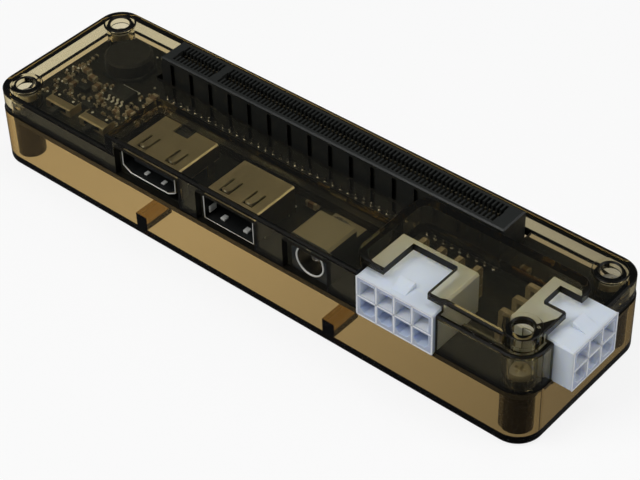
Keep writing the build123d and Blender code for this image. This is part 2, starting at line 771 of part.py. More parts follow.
with BuildPart() as ceramic_capacitors:
    place_parts(capacitor_rows, chip_x, chip_y)
    place_parts(slot_end_rows, slot_right)
    place_parts(jack_rows[:1], jack_centre, jack_front + jack_depth)
with BuildPart() as chip_resistors:
    place_parts(resistor_rows, chip_x, chip_y)
    place_parts(jack_rows[1:], jack_centre, jack_front + jack_depth)
with BuildPart() as small_transistors:
    place_parts(transistor_rows, chip_x, chip_y)

pieces = {
    "bottom_tray": bottom_tray,
    "top_cover": top_cover,
    "cover_screws": cover_screws,
    "circuit_board": circuit_board,
    "card_slot_housing": card_slot_housing,
    "card_slot_contacts": card_slot_contacts,
    "power_inlet_housing": power_inlet_housing,
    "power_inlet_pins": power_inlet_pins,
    "power_outlet_housing": power_outlet_housing,
    "power_outlet_pins": power_outlet_pins,
    "link_port_shell": link_port_shell,
    "link_port_tongue": link_port_tongue,
    "link_port_contacts": link_port_contacts,
    "serial_port_shell": serial_port_shell,
    "serial_port_tongue": serial_port_tongue,
    "serial_port_contacts": serial_port_contacts,
    "dc_jack_body": dc_jack_body,
    "dc_jack_sleeve": dc_jack_sleeve,
    "dc_jack_pin": dc_jack_pin,
    "setting_switch_1_frame": setting_switch_1_frame,
    "setting_switch_1_base": setting_switch_1_base,
    "setting_switch_1_lever": setting_switch_1_lever,
    "setting_switch_2_frame": setting_switch_2_frame,
    "setting_switch_2_base": setting_switch_2_base,
    "setting_switch_2_lever": setting_switch_2_lever,
    "power_inductor_base": power_inductor_base,
    "power_inductor_core": power_inductor_core,
    "control_chip_body": control_chip_body,
    "control_chip_leads": control_chip_leads,
    "ceramic_capacitors": ceramic_capacitors,
    "chip_resistors": chip_resistors,
    "small_transistors": small_transistors,
}
os.makedirs("parts", exist_ok=True)
for name, piece in pieces.items():
    piece.part.label = name
    export_step(piece.part, f"parts/{name}.step")
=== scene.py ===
import math
import random

import bmesh
import bpy
from mathutils import Matrix, Vector


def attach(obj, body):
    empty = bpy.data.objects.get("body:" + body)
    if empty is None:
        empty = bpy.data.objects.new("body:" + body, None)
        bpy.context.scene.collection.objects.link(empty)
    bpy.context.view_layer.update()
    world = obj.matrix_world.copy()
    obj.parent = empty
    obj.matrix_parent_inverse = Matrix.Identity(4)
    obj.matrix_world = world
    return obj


# Dressing of the external graphics card enclosure. Metres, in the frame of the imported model.
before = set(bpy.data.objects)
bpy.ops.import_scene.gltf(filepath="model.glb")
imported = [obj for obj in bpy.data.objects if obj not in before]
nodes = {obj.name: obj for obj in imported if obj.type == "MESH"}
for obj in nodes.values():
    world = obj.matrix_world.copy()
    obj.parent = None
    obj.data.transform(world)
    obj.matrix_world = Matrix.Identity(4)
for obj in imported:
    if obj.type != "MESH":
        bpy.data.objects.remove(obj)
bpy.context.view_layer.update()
ROOT = "case_body"
MM = 0.001

# Camera, fitted to the photograph: direction, distance from the target and frame
CAMERA_AZIMUTH = 42.246
CAMERA_ELEVATION = 41.361
CAMERA_ROLL = -2.266
CAMERA_DISTANCE = 373.1 * MM
CAMERA_TARGET = Vector((9.81, -10.32, 12.25)) * MM
FOCAL_PIXELS = 1909.36
FRAME_WIDTH = 640
FRAME_HEIGHT = 480
CENTRE_X = 303.76
CENTRE_Y = 241.93
SENSOR = 36.0

# Depth of colour of the two smoked mouldings, per metre in red, green and blue, and the share of a pale
# film on them that is a painted reflection of the room
TRAY_ABSORPTION = (245.0, 350.0, 600.0)
TRAY_PAINTED_REFLECTION = 0.002
COVER_ABSORPTION = (145.0, 185.0, 320.0)
PLASTIC_IOR = 1.49
PLASTIC_SHEEN = 0.15
COVER_PAINTED_REFLECTION = 0.005
LAMP_THROUGH_WALL = (0.48, 0.47, 0.43)

# Card slot panels and the painted shade along their grooves, in millimetres
GROOVE_START = -40.3
GROOVE_PITCH = 5.42
GROOVE_SHADE = 1.15
GROOVE_TOP = 22.5

# Board, screws, ports and headers, in millimetres
BOARD_TOP = 12.4
BOARD_UNDERSIDE = 10.8
SCREW_X = 64.35
SCREW_Y = 14.1
PORT_FRONT = -17.6
LINK_BOX = (-32.4, -17.4, 13.7, 18.9)
SERIAL_BOX = (-9.9, 3.5, 12.75, 19.0)
JACK_CENTRE = (17.4, 16.2)
CELL_PITCH = 4.2
HEADER_HEIGHT = 9.8
HEADER_MARGIN = 0.2
INLET_CENTRE = 39.75
INLET_FRONT = -19.6
INLET_HALF = 9.0
OUTLET_CENTRE = -4.45
OUTLET_FRONT = 73.6
OUTLET_HALF = 6.9

# A face counts as level or upright where its normal keeps this much of one axis
FACING = 0.9


def material(name):
    """A new node material: the material, its tree and its surface shader."""
    mat = bpy.data.materials.new(name)
    mat.use_nodes = True
    tree = mat.node_tree
    return mat, tree, tree.nodes["Principled BSDF"]


def node(tree, kind, **values):
    """A shader node with some of its inputs or properties set."""
    made = tree.nodes.new(kind)
    for key, value in values.items():
        if hasattr(made, key):
            setattr(made, key, value)
        else:
            made.inputs[key.replace("_", " ")].default_value = value
    return made


def object_noise(tree, scale, detail=3.0, roughness=0.5):
    """Noise laid out in the object's own space."""
    place = node(tree, "ShaderNodeTexCoord")
    noise = node(tree, "ShaderNodeTexNoise", Scale=scale, Detail=detail, Roughness=roughness)
    tree.links.new(place.outputs["Object"], noise.inputs["Vector"])
    return noise


def spread(tree, source, low, high, from_low=0.3, from_high=0.7):
    """A value from low to high as the source goes from one level to another."""
    ranged = node(tree, "ShaderNodeMapRange")
    ranged.inputs["From Min"].default_value = from_low
    ranged.inputs["From Max"].default_value = from_high
    ranged.inputs["To Min"].default_value = low
    ranged.inputs["To Max"].default_value = high
    tree.links.new(source, ranged.inputs["Value"])
    return ranged.outputs["Result"]


def bump(tree, shader, source, strength, distance):
    """Small relief on a surface, as high as the source says."""
    made = node(tree, "ShaderNodeBump")
    made.inputs["Strength"].default_value = strength
    made.inputs["Distance"].default_value = distance
    tree.links.new(source, made.inputs["Height"])
    tree.links.new(made.outputs["Normal"], shader.inputs["Normal"])


def mixed_colour(tree, source, first, second):
    """A colour between two others, as far as the source says."""
    mix = node(tree, "ShaderNodeMix", data_type="RGBA")
    mix.inputs[6].default_value = (*first, 1)
    mix.inputs[7].default_value = (*second, 1)
    tree.links.new(source, mix.inputs[0])
    return mix.outputs[2]


def smoked_plastic(name, absorption, painted_reflection):
    """Clear moulding darkened by its own thickness, with a faint pale film on it as a painted reflection
    of the room; lamps shine through it.
    """
    mat, tree, shader = material(name)
    output = tree.nodes["Material Output"]
    shader.inputs["Base Color"].default_value = (1, 1, 1, 1)
    shader.inputs["Transmission Weight"].default_value = 1.0
    shader.inputs["IOR"].default_value = PLASTIC_IOR
    shader.inputs["Specular Tint"].default_value = (PLASTIC_SHEEN, PLASTIC_SHEEN, PLASTIC_SHEEN, 1)
    scuffs = object_noise(tree, 900, 4, 0.6)
    worn = spread(tree, scuffs.outputs["Fac"], 0.008, 0.035, 0.45, 0.75)
    tree.links.new(worn, shader.inputs["Roughness"])
    ripple = object_noise(tree, 55, 2)
    bump(tree, shader, ripple.outputs["Fac"], 0.05, 0.0004)
    clear = node(tree, "ShaderNodeBsdfTransparent")
    clear.inputs["Color"].default_value = (*LAMP_THROUGH_WALL, 1)
    path = node(tree, "ShaderNodeLightPath")
    # painted reflection: a pale diffuse film mixed over the clear moulding
    reflection_film = node(tree, "ShaderNodeBsdfDiffuse")
    reflection_film.inputs["Color"].default_value = (0.85, 0.9, 0.88, 1)
    reflection_mixed = node(tree, "ShaderNodeMixShader")
    reflection_mixed.inputs[0].default_value = painted_reflection
    tree.links.new(shader.outputs[0], reflection_mixed.inputs[1])
    tree.links.new(reflection_film.outputs[0], reflection_mixed.inputs[2])
    mix = node(tree, "ShaderNodeMixShader")
    tree.links.new(path.outputs["Is Shadow Ray"], mix.inputs[0])
    tree.links.new(reflection_mixed.outputs[0], mix.inputs[1])
    tree.links.new(clear.outputs[0], mix.inputs[2])
    tree.links.new(mix.outputs[0], output.inputs["Surface"])
    density = max(absorption) * 1.05
    volume = node(tree, "ShaderNodeVolumeAbsorption")
    volume.inputs["Density"].default_value = density
    volume.inputs["Color"].default_value = (*[1 - value / density for value in absorption], 1)
    tree.links.new(volume.outputs[0], output.inputs["Volume"])
    return mat


def moulded(name, colour, roughness, grain=1400, depth=0.00004, variation=0.12, specular=0.4):
    """Opaque moulded plastic with a fine grain and slight unevenness."""
    mat, tree, shader = material(name)
    patches = object_noise(tree, 130, 3)
    darker = [channel * (1 - variation) for channel in colour]
    lighter = [min(1.0, channel * (1 + variation)) for channel in colour]
    patched = mixed_colour(tree, patches.outputs["Fac"], darker, lighter)
    tree.links.new(patched, shader.inputs["Base Color"])
    fine = object_noise(tree, grain, 5, 0.6)
    uneven = spread(tree, fine.outputs["Fac"], roughness * 0.8, roughness * 1.2)
    tree.links.new(uneven, shader.inputs["Roughness"])
    bump(tree, shader, fine.outputs["Fac"], 0.25, depth)
    shader.inputs["Specular IOR Level"].default_value = specular
    return mat


def metal(name, colour, roughness, grain=(2500, 120, 2500), depth=0.00002):
    """Plated sheet with drawn streaks and a mottled finish."""
    mat, tree, shader = material(name)
    shader.inputs["Metallic"].default_value = 1.0
    place = node(tree, "ShaderNodeTexCoord")
    stretch = node(tree, "ShaderNodeMapping")
    stretch.inputs["Scale"].default_value = grain
    streaks = node(tree, "ShaderNodeTexNoise", Scale=1.0, Detail=2.0)
    tree.links.new(place.outputs["Object"], stretch.inputs["Vector"])
    tree.links.new(stretch.outputs["Vector"], streaks.inputs["Vector"])
    mottle = object_noise(tree, 350, 3)
    darker = [channel * 0.8 for channel in colour]
    mottled = mixed_colour(tree, mottle.outputs["Fac"], darker, colour)
    tree.links.new(mottled, shader.inputs["Base Color"])
    drawn = spread(tree, streaks.outputs["Fac"], roughness * 0.9, roughness * 1.15)
    tree.links.new(drawn, shader.inputs["Roughness"])
    bump(tree, shader, streaks.outputs["Fac"], 0.04, depth)
    return mat


def translucent_nylon(name, colour):
    """Natural nylon: light goes a little way in and comes out again."""
    mat = moulded(name, colour, 0.36, variation=0.03)
    shader = mat.node_tree.nodes["Principled BSDF"]
    shader.inputs["Subsurface Weight"].default_value = 0.75
    shader.inputs["Subsurface Radius"].default_value = (0.9, 1.0, 1.4)
    shader.inputs["Subsurface Scale"].default_value = 0.0011
    return mat


def ribbed_nylon(name, colour, shade):
    """Black nylon with painted shade along the grooves between its panels."""
    mat = moulded(name, colour, 0.4)
    tree = mat.node_tree
    shader = tree.nodes["Principled BSDF"]
    plain = shader.inputs["Base Color"].links[0].from_socket
    place = node(tree, "ShaderNodeTexCoord")
    split = node(tree, "ShaderNodeSeparateXYZ")
    tree.links.new(place.outputs["Object"], split.inputs[0])
    shifted = node(tree, "ShaderNodeMath", operation="SUBTRACT")
    shifted.inputs[1].default_value = (GROOVE_START - GROOVE_PITCH / 2) * MM
    tree.links.new(split.outputs["X"], shifted.inputs[0])
    wrapped = node(tree, "ShaderNodeMath", operation="FLOORED_MODULO")
    wrapped.inputs[1].default_value = GROOVE_PITCH * MM
    tree.links.new(shifted.outputs[0], wrapped.inputs[0])
    centred = node(tree, "ShaderNodeMath", operation="COMPARE")
    centred.inputs[1].default_value = GROOVE_PITCH / 2 * MM
    centred.inputs[2].default_value = GROOVE_SHADE / 2 * MM
    tree.links.new(wrapped.outputs[0], centred.inputs[0])
    low = node(tree, "ShaderNodeMath", operation="LESS_THAN")
    low.inputs[1].default_value = GROOVE_TOP * MM
    tree.links.new(split.outputs["Z"], low.inputs[0])
    both = node(tree, "ShaderNodeMath", operation="MULTIPLY")
    tree.links.new(centred.outputs[0], both.inputs[0])
    tree.links.new(low.outputs[0], both.inputs[1])
    # painted shade: the groove colour, below the top of the grooves
    mix = node(tree, "ShaderNodeMix", data_type="RGBA")
    mix.inputs[7].default_value = (*shade, 1)
    tree.links.new(both.outputs[0], mix.inputs[0])
    tree.links.new(plain, mix.inputs[6])
    tree.links.new(mix.outputs[2], shader.inputs["Base Color"])
    return mat


def board_mask(name):
    """Black solder mask with faint copper relief under it."""
    mat, tree, shader = material(name)
    place = node(tree, "ShaderNodeTexCoord")
    tracks = node(tree, "ShaderNodeTexBrick", Scale=240.0)
    tracks.inputs["Color1"].default_value = (0.012, 0.014, 0.012, 1)
    tracks.inputs["Color2"].default_value = (0.018, 0.02, 0.017, 1)
    tracks.inputs["Mortar"].default_value = (0.008, 0.009, 0.008, 1)
    tracks.inputs["Mortar Size"].default_value = 0.06
    tree.links.new(place.outputs["Object"], tracks.inputs["Vector"])
    tree.links.new(tracks.outputs["Color"], shader.inputs["Base Color"])
    fine = object_noise(tree, 700, 4)
    tree.links.new(spread(tree, fine.outputs["Fac"], 0.28, 0.45), shader.inputs["Roughness"])
    bump(tree, shader, tracks.outputs["Fac"], 0.15, 0.00003)
    return mat


smoked_cover = smoked_plastic("smoked_cover", COVER_ABSORPTION, COVER_PAINTED_REFLECTION)
smoked_tray = smoked_plastic("smoked_tray", TRAY_ABSORPTION, TRAY_PAINTED_REFLECTION)
lead_tin = moulded("lead_tin", (0.33, 0.28, 0.19), 0.25, variation=0.25, specular=1.0)
end_tin = moulded("end_tin", (0.36, 0.32, 0.24), 0.25, variation=0.3, specular=1.0)
# near-black: the joints between the mouldings, and painted shade on their bevels, cut faces, rounding and
# bores
dark_joint_and_painted_shade = moulded("dark_joint_and_painted_shade", (0.007, 0.0065, 0.005), 0.35, specular=0.15)
black_nylon = moulded("black_nylon", (0.021, 0.024, 0.026), 0.48)
slot_nylon = ribbed_nylon("slot_nylon", (0.019, 0.0205, 0.019), (0.002, 0.002, 0.002))
white_nylon = translucent_nylon("white_nylon", (0.74, 0.8, 0.9))
# painted light and shade inside the header cells: a lighter and a darker copy of the white nylon
cell_painted_light = translucent_nylon("header_cell_painted_light", (0.8, 0.84, 0.95))
cell_painted_shade = translucent_nylon("header_cell_painted_shade", (0.6, 0.68, 0.86))
face_nylon = translucent_nylon("face_nylon", (0.5, 0.55, 0.68))
# painted highlight: near-white strips on the edges of the header cells' walls
rim_painted_highlight = moulded("rim_painted_highlight", (0.93, 0.95, 1.0), 0.3, variation=0.03)
jack_nylon = moulded("jack_nylon", (0.25, 0.225, 0.165), 0.4)
jack_shade = moulded("jack_shade", (0.035, 0.042, 0.046), 0.4)
shade_steel = metal("shade_steel", (0.17, 0.155, 0.12), 0.5)
# painted shade: opaque dark brown on the outsides of the tray's screw columns
column_painted_shade = moulded("column_painted_shade", (0.018, 0.0125, 0.008), 0.25, specular=0.2)
tinned = metal("tinned_metal", (0.8, 0.78, 0.74), 0.22)
plated_shell = metal("plated_shell", (0.76, 0.67, 0.47), 0.42)
contact = metal("contact_metal", (0.75, 0.66, 0.45), 0.3)
screw_steel = metal("screw_steel", (0.9, 0.86, 0.74), 0.42)
# painted shade: near-black on the screws' shanks inside the bosses
shank_painted_shade = moulded("shank_painted_shade", (0.012, 0.01, 0.009), 0.4)
# near-black: painted shade inside the port mouths, and the own colour of the black strips on the switches
mouth_shade_and_black_strip = moulded("mouth_shade_and_black_strip", (0.006, 0.007, 0.007), 0.6)
# painted glint: near-white diffuse for solder, the control chip's leads, port lips, springs, beads and
# rivets
painted_glint_white = moulded("painted_glint_white", (0.85, 0.85, 0.8), 0.22, variation=0.08, specular=1.0)
ferrite = moulded("ferrite", (0.02, 0.021, 0.022), 0.62, 900, 0.00006, specular=0.25)
ceramic_tan = moulded("ceramic_tan", (0.17, 0.115, 0.07), 0.45)
resistor_black = moulded("resistor_black", (0.02, 0.02, 0.022), 0.35)
board = board_mask("solder_mask")

FINISH = {
    "bottom_tray": smoked_tray, "top_cover": smoked_cover, "cover_screws": screw_steel,
    "circuit_board": board, "card_slot_housing": slot_nylon, "card_slot_contacts": contact,
    "power_inlet_housing": white_nylon, "power_inlet_pins": lead_tin,
    "power_outlet_housing": white_nylon, "power_outlet_pins": lead_tin,
    "link_port_shell": plated_shell, "link_port_tongue": black_nylon, "link_port_contacts": contact,
    "serial_port_shell": plated_shell, "serial_port_tongue": black_nylon, "serial_port_contacts": contact,
    "dc_jack_body": jack_nylon, "dc_jack_sleeve": tinned, "dc_jack_pin": tinned,
    "setting_switch_1_frame": plated_shell, "setting_switch_1_base": black_nylon,
    "setting_switch_1_lever": black_nylon, "setting_switch_2_frame": plated_shell,
    "setting_switch_2_base": black_nylon, "setting_switch_2_lever": black_nylon,
    "power_inductor_base": black_nylon, "power_inductor_core": ferrite,
    # the control chip's leads are white as a painted glint
    "control_chip_body": black_nylon, "control_chip_leads": painted_glint_white,
    "ceramic_capacitors": ceramic_tan, "chip_resistors": resistor_black, "small_transistors": black_nylon,
}
for name, finish in FINISH.items():
    mesh = nodes[name].data
    mesh.materials.clear()
    mesh.materials.append(finish)


# Second finishes on some faces, picked by their middle c in millimetres and their normal n
def repaint(name, finish, chosen):
    """Gives a further material to the faces of a node that a test picks."""
    mesh = nodes[name].data
    turn = nodes[name].matrix_world
    mesh.materials.append(finish)
    for face in mesh.polygons:
        middle = (turn @ face.center) / MM
        if chosen(middle, face.normal):
            face.material_index = len(mesh.materials) - 1


def in_mouth(x0, x1, z0, z1):
    """Faces inside a port's shell, whose outside is given; they get painted shade."""
    sheet = 0.3

    def chosen(c, n):
        deep = c.y > PORT_FRONT + 0.05
        return deep and x0 + sheet < c.x < x1 - sheet and z0 + sheet < c.z < z1 - sheet

    return chosen


def on_sides(x0, x1, z0, z1):
    """The two upright outer sides of a port's shell."""
    return lambda c, n: abs(n.x) > FACING and not x0 + 0.1 <= c.x <= x1 - 0.1


# Painted shade in the port mouths, on the shells' and the jack's sides, and on the screws' shanks
SHANK_TOP = 14.3
repaint("link_port_shell", mouth_shade_and_black_strip, in_mouth(*LINK_BOX))
repaint("serial_port_shell", mouth_shade_and_black_strip, in_mouth(*SERIAL_BOX))
repaint("cover_screws", shank_painted_shade, lambda c, n: c.z < SHANK_TOP)
repaint("link_port_shell", shade_steel, on_sides(*LINK_BOX))
repaint("serial_port_shell", shade_steel, on_sides(*SERIAL_BOX))
repaint("dc_jack_body", jack_shade, lambda c, n: abs(n.x) > FACING or n.y < -0.5)


# Dark lines where the smoked mouldings are butted together, and painted shade where they are bevelled or
# cut through, on the tray's rounding and in its pilot bores, and on the outsides of the tray's screw
# columns
JOINT_HEIGHT = 13.3
FLOOR_TOP = 1.6
OPENINGS = {
    "link_port_window": (-32.9, -15.2, -20.4, -17.6, 12.3, 20.4),
    "serial_port_window": (-10.4, 4.9, -20.4, -17.6, 12.3, 20.4),
    "dc_jack_window": (12.2, 23.3, -20.4, -17.6, 12.3, 20.4),
    "power_inlet_opening": (30.5, 49.0, -20.4, -15.9, 12.3, 23.4),
    "power_outlet_opening": (66.4, 70.65, -11.6, 2.7, 12.3, 23.4),
    "latch_notch": (35.6, 45.8, -20.4, -8.6, 23.3, 26.0),
    "side_notch": (63.2, 70.65, -6.125, -1.075, 23.3, 26.0),
    "card_slot_opening": (-44.4, 46.4, 5.05, 14.05, 15.8, 19.4),
}


def on_cut(c, n):
    """Whether a face lies on the side of one of the openings in the cover."""
    edge = 0.08
    for x0, x1, y0, y1, z0, z1 in OPENINGS.values():
        in_plan = x0 - edge < c.x < x1 + edge and y0 - edge < c.y < y1 + edge
        within = in_plan and z0 - edge < c.z < z1 + edge
        across = abs(n.x) > FACING and min(abs(c.x - x0), abs(c.x - x1)) < edge
        along = abs(n.y) > FACING and min(abs(c.y - y0), abs(c.y - y1)) < edge
        above = abs(n.z) > FACING and abs(c.z - z1) < edge
        if within and (across or along or above):
            return True
    return False


def from_screw(c):
    """Distance in plan from the nearest screw's axis."""
    return min(math.hypot(c.x - x, c.y - y) for x in (-SCREW_X, SCREW_X) for y in (-SCREW_Y, SCREW_Y))


def dark_on_cover(c, n):
    """Painted shade on the bevels and the sides of openings, and the dark joint line of the lower rim
    along the front and the right end.
    """
    bevel = 0.3 < abs(n.z) < 0.95
    in_front = c.y < -17.8 or c.x > 68.1
    rim = n.z < -FACING and c.z < JOINT_HEIGHT + 0.1
    return bevel or rim and in_front or on_cut(c, n)


def dark_on_tray(c, n):
    """Painted shade on the rounding under the walls and in the pilot bores, and the dark joint line of
    the upper rim.
    """
    rounding = -0.97 < n.z < -0.1
    rim = n.z > FACING and c.z > JOINT_HEIGHT - 0.1
    bore = from_screw(c) < 1.4 and c.z > FLOOR_TOP + 0.1
    return rounding or rim or bore


def column_side(c, n):
    """The outsides of the four screw columns in the tray, which get painted shade."""
    height = FLOOR_TOP + 0.1 < c.z < BOARD_UNDERSIDE - 0.1
    return height and abs(n.z) < 0.1 and 2.5 <= from_screw(c) < 3.2


repaint("top_cover", dark_joint_and_painted_shade, dark_on_cover)
repaint("bottom_tray", dark_joint_and_painted_shade, dark_on_tray)
repaint("bottom_tray", column_painted_shade, column_side)


# Painted light and shade inside the header cells, lighter in the inlet's upper row and the outlet and
# darker in the inlet's lower row, and a darker blue-grey on the fronts of the walls between them
def cell_walls(low, high):
    """Faces inside the cells of a header, in a range of heights and away from its outside."""

    def chosen(c, n):
        in_inlet = abs(c.x - INLET_CENTRE) < INLET_HALF - HEADER_MARGIN
        in_outlet = abs(c.y - OUTLET_CENTRE) < OUTLET_HALF - HEADER_MARGIN
        inlet = in_inlet and INLET_FRONT + 0.05 < c.y < -9.0
        outlet = in_outlet and 63.0 < c.x < OUTLET_FRONT - 0.05
        return low < c.z < high and (inlet or outlet)

    return chosen


repaint("power_inlet_housing", cell_painted_light, cell_walls(17.35, 21.6))
repaint("power_inlet_housing", cell_painted_shade, cell_walls(13.0, 17.3))
repaint("power_outlet_housing", cell_painted_light, cell_walls(13.0, 21.6))
repaint("power_inlet_housing", face_nylon, lambda c, n: n.y < -FACING and c.y < INLET_FRONT + 0.1)
repaint("power_outlet_housing", face_nylon, lambda c, n: n.x > FACING and c.x > OUTLET_FRONT - 0.1)


# Pieces that scene.py adds
def new_piece(name, finish, build):
    """A scene piece that rides on the case, its mesh made by a function that fills a bmesh in mm."""
    shape = bmesh.new()
    build(shape)
    bmesh.ops.scale(shape, vec=(MM, MM, MM), verts=shape.verts)
    mesh = bpy.data.meshes.new(name)
    shape.to_mesh(mesh)
    shape.free()
    mesh.materials.append(finish)
    piece = bpy.data.objects.new(name, mesh)
    bpy.context.collection.objects.link(piece)
    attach(piece, ROOT)


def add_block(shape, centre, size, bevel=0.0):
    """A box, with its edges bevelled where a width is given."""
    made = bmesh.ops.create_cube(shape, size=1.0)
    corners = made["verts"]
    bmesh.ops.scale(shape, vec=size, verts=corners)
    bmesh.ops.translate(shape, vec=centre, verts=corners)
    if bevel:
        edges = list({edge for corner in corners for edge in corner.link_edges})
        bmesh.ops.bevel(shape, geom=edges, offset=bevel, segments=2, affect="EDGES", profile=0.5)


def add_dome(shape, centre, radius, height):
    """A flattened ball, half of it sunk in what it sits on."""
    made = bmesh.ops.create_uvsphere(shape, u_segments=10, v_segments=6, radius=1.0)
    corners = made["verts"]
    bmesh.ops.scale(shape, vec=(radius, radius, height), verts=corners)
    bmesh.ops.translate(shape, vec=centre, verts=corners)
    for corner in corners:
        for face in corner.link_faces:
            face.smooth = True


def add_tube(shape, path, radius):
    """A round wire bent into a closed loop, through points that share one y."""
    sides = 8
    points = [Vector(point) for point in path]
    count = len(points)
    rings = []
    for number, point in enumerate(points):
        along = (points[(number + 1) % count] - points[number - 1]).normalized()
        side = along.cross(Vector((0, 1, 0))).normalized()
        other = along.cross(side).normalized()
        ring = []
        for step in range(sides):
            angle = 2 * math.pi * step / sides
            outwards = side * math.cos(angle) + other * math.sin(angle)
            ring.append(shape.verts.new(point + outwards * radius))
        rings.append(ring)
    for number in range(count):
        first = rings[number]
        second = rings[(number + 1) % count]
        for step in range(sides):
            following = (step + 1) % sides
            face = shape.faces.new((first[step], first[following], second[following], second[step]))
            face.smooth = True


# Lips round the mouths and the springs at them, white as painted highlights, and painted highlights on
# the edges of the header cells
LIP_RADIUS = 0.13
LIP_INSET = 0.18
LINK_TAPER = (2.2, 1.35)
SERIAL_CORNER = 0.5
JACK_LIP = 3.37
JACK_LIP_Y = -17.15
MOUTH_SPRINGS = (
    ((-27.2, -15.9, 14.2), (0.9, 1.2, 0.35), 0.12), ((-22.4, -15.9, 14.2), (0.9, 1.2, 0.35), 0.12),
    ((-6.2, -15.6, 13.35), (1.2, 1.4, 0.6), 0.18), ((-0.2, -15.6, 13.35), (1.2, 1.4, 0.6), 0.18),
    ((-9.35, -15.6, 14.5), (0.4, 2.0, 1.6), 0.15), ((2.95, -15.6, 14.5), (0.4, 2.0, 1.6), 0.15),
)
SPRING_TIPS = ((-28.8, 18.9), (-21.0, 18.9), (-6.25, 19.0), (-0.15, 19.0))
SPRING_TIP_Y = -14.6


def lip_box(box):
    """Where the wire of a lip runs: left, right, bottom and top."""
    x0, x1, z0, z1 = box
    return x0 + LIP_INSET, x1 - LIP_INSET, z0 + LIP_INSET, z1 - LIP_INSET


def link_lip(shape):
    x0, x1, z0, z1 = LINK_BOX
    left, right, bottom, top = lip_box(LINK_BOX)
    wide, tall = LINK_TAPER
    corners = (
        (left, top), (right, top), (right, z0 + tall),
        (x1 - wide, bottom), (x0 + wide, bottom), (left, z0 + tall),
    )
    add_tube(shape, [(x, PORT_FRONT, z) for x, z in corners], LIP_RADIUS)


def serial_lip(shape):
    x0, x1, z0, z1 = SERIAL_BOX
    left, right, bottom, top = lip_box(SERIAL_BOX)
    cut = SERIAL_CORNER
    corners = (
        (left, z1 - cut), (x0 + cut, top), (x1 - cut, top), (right, z1 - cut),
        (right, z0 + cut), (x1 - cut, bottom), (x0 + cut, bottom), (left, z0 + cut),
    )
    add_tube(shape, [(x, PORT_FRONT, z) for x, z in corners], LIP_RADIUS)


def jack_lip(shape):
    x, z = JACK_CENTRE
    steps = 40
    ring = []
    for step in range(steps):
        angle = 2 * math.pi * step / steps
        ring.append((x + JACK_LIP * math.cos(angle), JACK_LIP_Y, z + JACK_LIP * math.sin(angle)))
    add_tube(shape, ring, 0.2)


def mouth_springs(shape):
    for centre, size, bevel in MOUTH_SPRINGS:
        add_block(shape, centre, size, bevel)


def spring_beads(shape):
    """Beads at the tips of the springs on the two port shells, white as a painted glint."""
    for x, top in SPRING_TIPS:
        add_dome(shape, (x, SPRING_TIP_Y, top - 0.05), 0.5, 0.3)


def cell_highlight_strips(shape):
    """Painted highlights: bright strips on the edges of the walls between the cells of the two headers.
    """
    width = 0.36
    sheet = 0.06
    sunk = 0.01
    middle = BOARD_TOP + HEADER_HEIGHT / 2
    length = HEADER_HEIGHT - 2 * HEADER_MARGIN
    heights = [BOARD_TOP + rise for rise in (0.22, HEADER_HEIGHT / 2, HEADER_HEIGHT - 0.22)]
    reach = INLET_HALF - HEADER_MARGIN
    y = INLET_FRONT + sunk
    for offset in (-reach, -CELL_PITCH, 0, CELL_PITCH, reach):
        add_block(shape, (INLET_CENTRE + offset, y, middle), (width, sheet, length))
    for z in heights:
        add_block(shape, (INLET_CENTRE, y, z), (2 * reach, sheet, width))
    reach = OUTLET_HALF - HEADER_MARGIN
    x = OUTLET_FRONT - sunk
    for offset in (-reach, -CELL_PITCH / 2, CELL_PITCH / 2, reach):
        add_block(shape, (x, OUTLET_CENTRE + offset, middle), (sheet, width, length))
    for z in heights:
        add_block(shape, (x, OUTLET_CENTRE, z), (sheet, 2 * reach, width))


new_piece("spring_beads", painted_glint_white, spring_beads)
new_piece("header_cell_painted_highlights", rim_painted_highlight, cell_highlight_strips)
new_piece("link_port_lip", painted_glint_white, link_lip)
new_piece("serial_port_lip", painted_glint_white, serial_lip)
new_piece("dc_jack_lip", painted_glint_white, jack_lip)
new_piece("mouth_springs", painted_glint_white, mouth_springs)


# Solder, end caps and the smallest chips on the board
def islands(name):
    """Corner boxes in mm of the separate solids in a node."""
    mesh = nodes[name].data
    turn = nodes[name].matrix_world
    shape = bmesh.new()
    shape.from_mesh(mesh)
    bmesh.ops.remove_doubles(shape, verts=shape.verts, dist=0.00001)
    left = set(shape.verts)
    boxes = []
    while left:
        stack = [left.pop()]
        group = list(stack)
        while stack:
            corner = stack.pop()
            for edge in corner.link_edges:
                other = edge.other_vert(corner)
                if other in left:
                    left.remove(other)
                    stack.append(other)
                    group.append(other)
        spots = [(turn @ corner.co) / MM for corner in group]
        low = Vector([min(spot[axis] for spot in spots) for axis in range(3)])
        high = Vector([max(spot[axis] for spot in spots) for axis in range(3)])
        boxes.append((low, high))
    shape.free()
    return sorted(boxes, key=lambda box: tuple(box[0]))


def end_caps(shape, boxes, share=0.22, skin=0.04):
    """Tinned ends on chips, with a solder fillet at their feet."""
    for low, high in boxes:
        middle = (low + high) / 2
        size = high - low
        axis = 0 if size.x > size.y else 1
        for side in (-1, 1):
            centre = middle.copy()
            centre[axis] += side * size[axis] * (0.5 - share / 2)
            extent = size.copy()
            extent[axis] = size[axis] * share
            add_block(shape, centre, (extent.x + skin, extent.y + skin, extent.z + skin))
            foot = middle.copy()
            foot[axis] += side * (size[axis] / 2 + 0.08)
            foot.z = BOARD_TOP
            add_dome(shape, foot, 0.2, 0.18)


